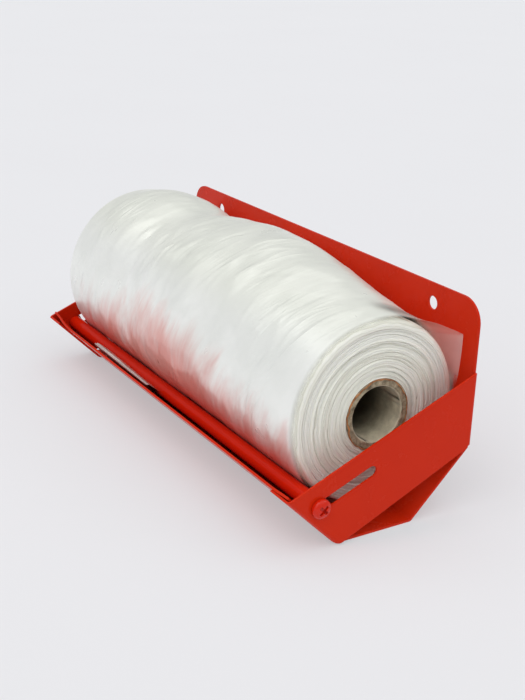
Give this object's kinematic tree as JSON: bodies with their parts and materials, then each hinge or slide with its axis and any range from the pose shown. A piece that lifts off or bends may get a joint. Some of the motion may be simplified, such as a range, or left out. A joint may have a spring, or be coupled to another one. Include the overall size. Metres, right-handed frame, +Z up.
{
  "type": "film roll dispenser",
  "caption": "Wall dispenser of folded red steel sheet: an open trough with slotted side arms and a sliding rod, holding a loose roll of thin film on a cardboard core.",
  "frame": {"origin": "on the plane of the flat base, under the middle of the dispenser's bounding box", "axes": "+X along the roll to the right-hand end seen from the front, +Y to the wall, +Z up"},
  "size_m": [0.3596, 0.1302, 0.1409],
  "materials": {
    "red_coat": "glossy powder coat",
    "red_rod": "glossy powder coat",
    "core_board": "grey-brown wound board",
    "film": "milky thin film, creased"
  },
  "bodies": {
    "dispenser": {"tray_sheet": "red_coat", "side_arm_right": "red_coat", "side_arm_left": "red_coat", "film_tail": "film"},
    "rod": {"retaining_rod": "red_rod", "rod_screws": "red_rod"},
    "roll_core": {"cardboard_core": "core_board", "film_wrap": "film"},
    "film": {"film_roll": "film"}
  },
  "joints": [
    {"name": "roll_lift", "type": "slide", "parent": "dispenser", "child": "roll_core", "axis": [0, 0, 1], "range_m": [0, 0.15]},
    {"name": "rod_slide", "type": "slide", "parent": "dispenser", "child": "rod", "axis": [0, 0.9252, 0.3795], "range_m": [0, 0.0375]},
    {"name": "roll_spin", "type": "hinge", "parent": "roll_core", "child": "film", "pos_m": [0, 0.0053, 0.0682], "axis": [1, 0, 0], "continuous": true}
  ],
  "couplings": [
    {"joint": "rod_slide", "follows": "roll_lift", "ratio": 0.25}
  ]
}
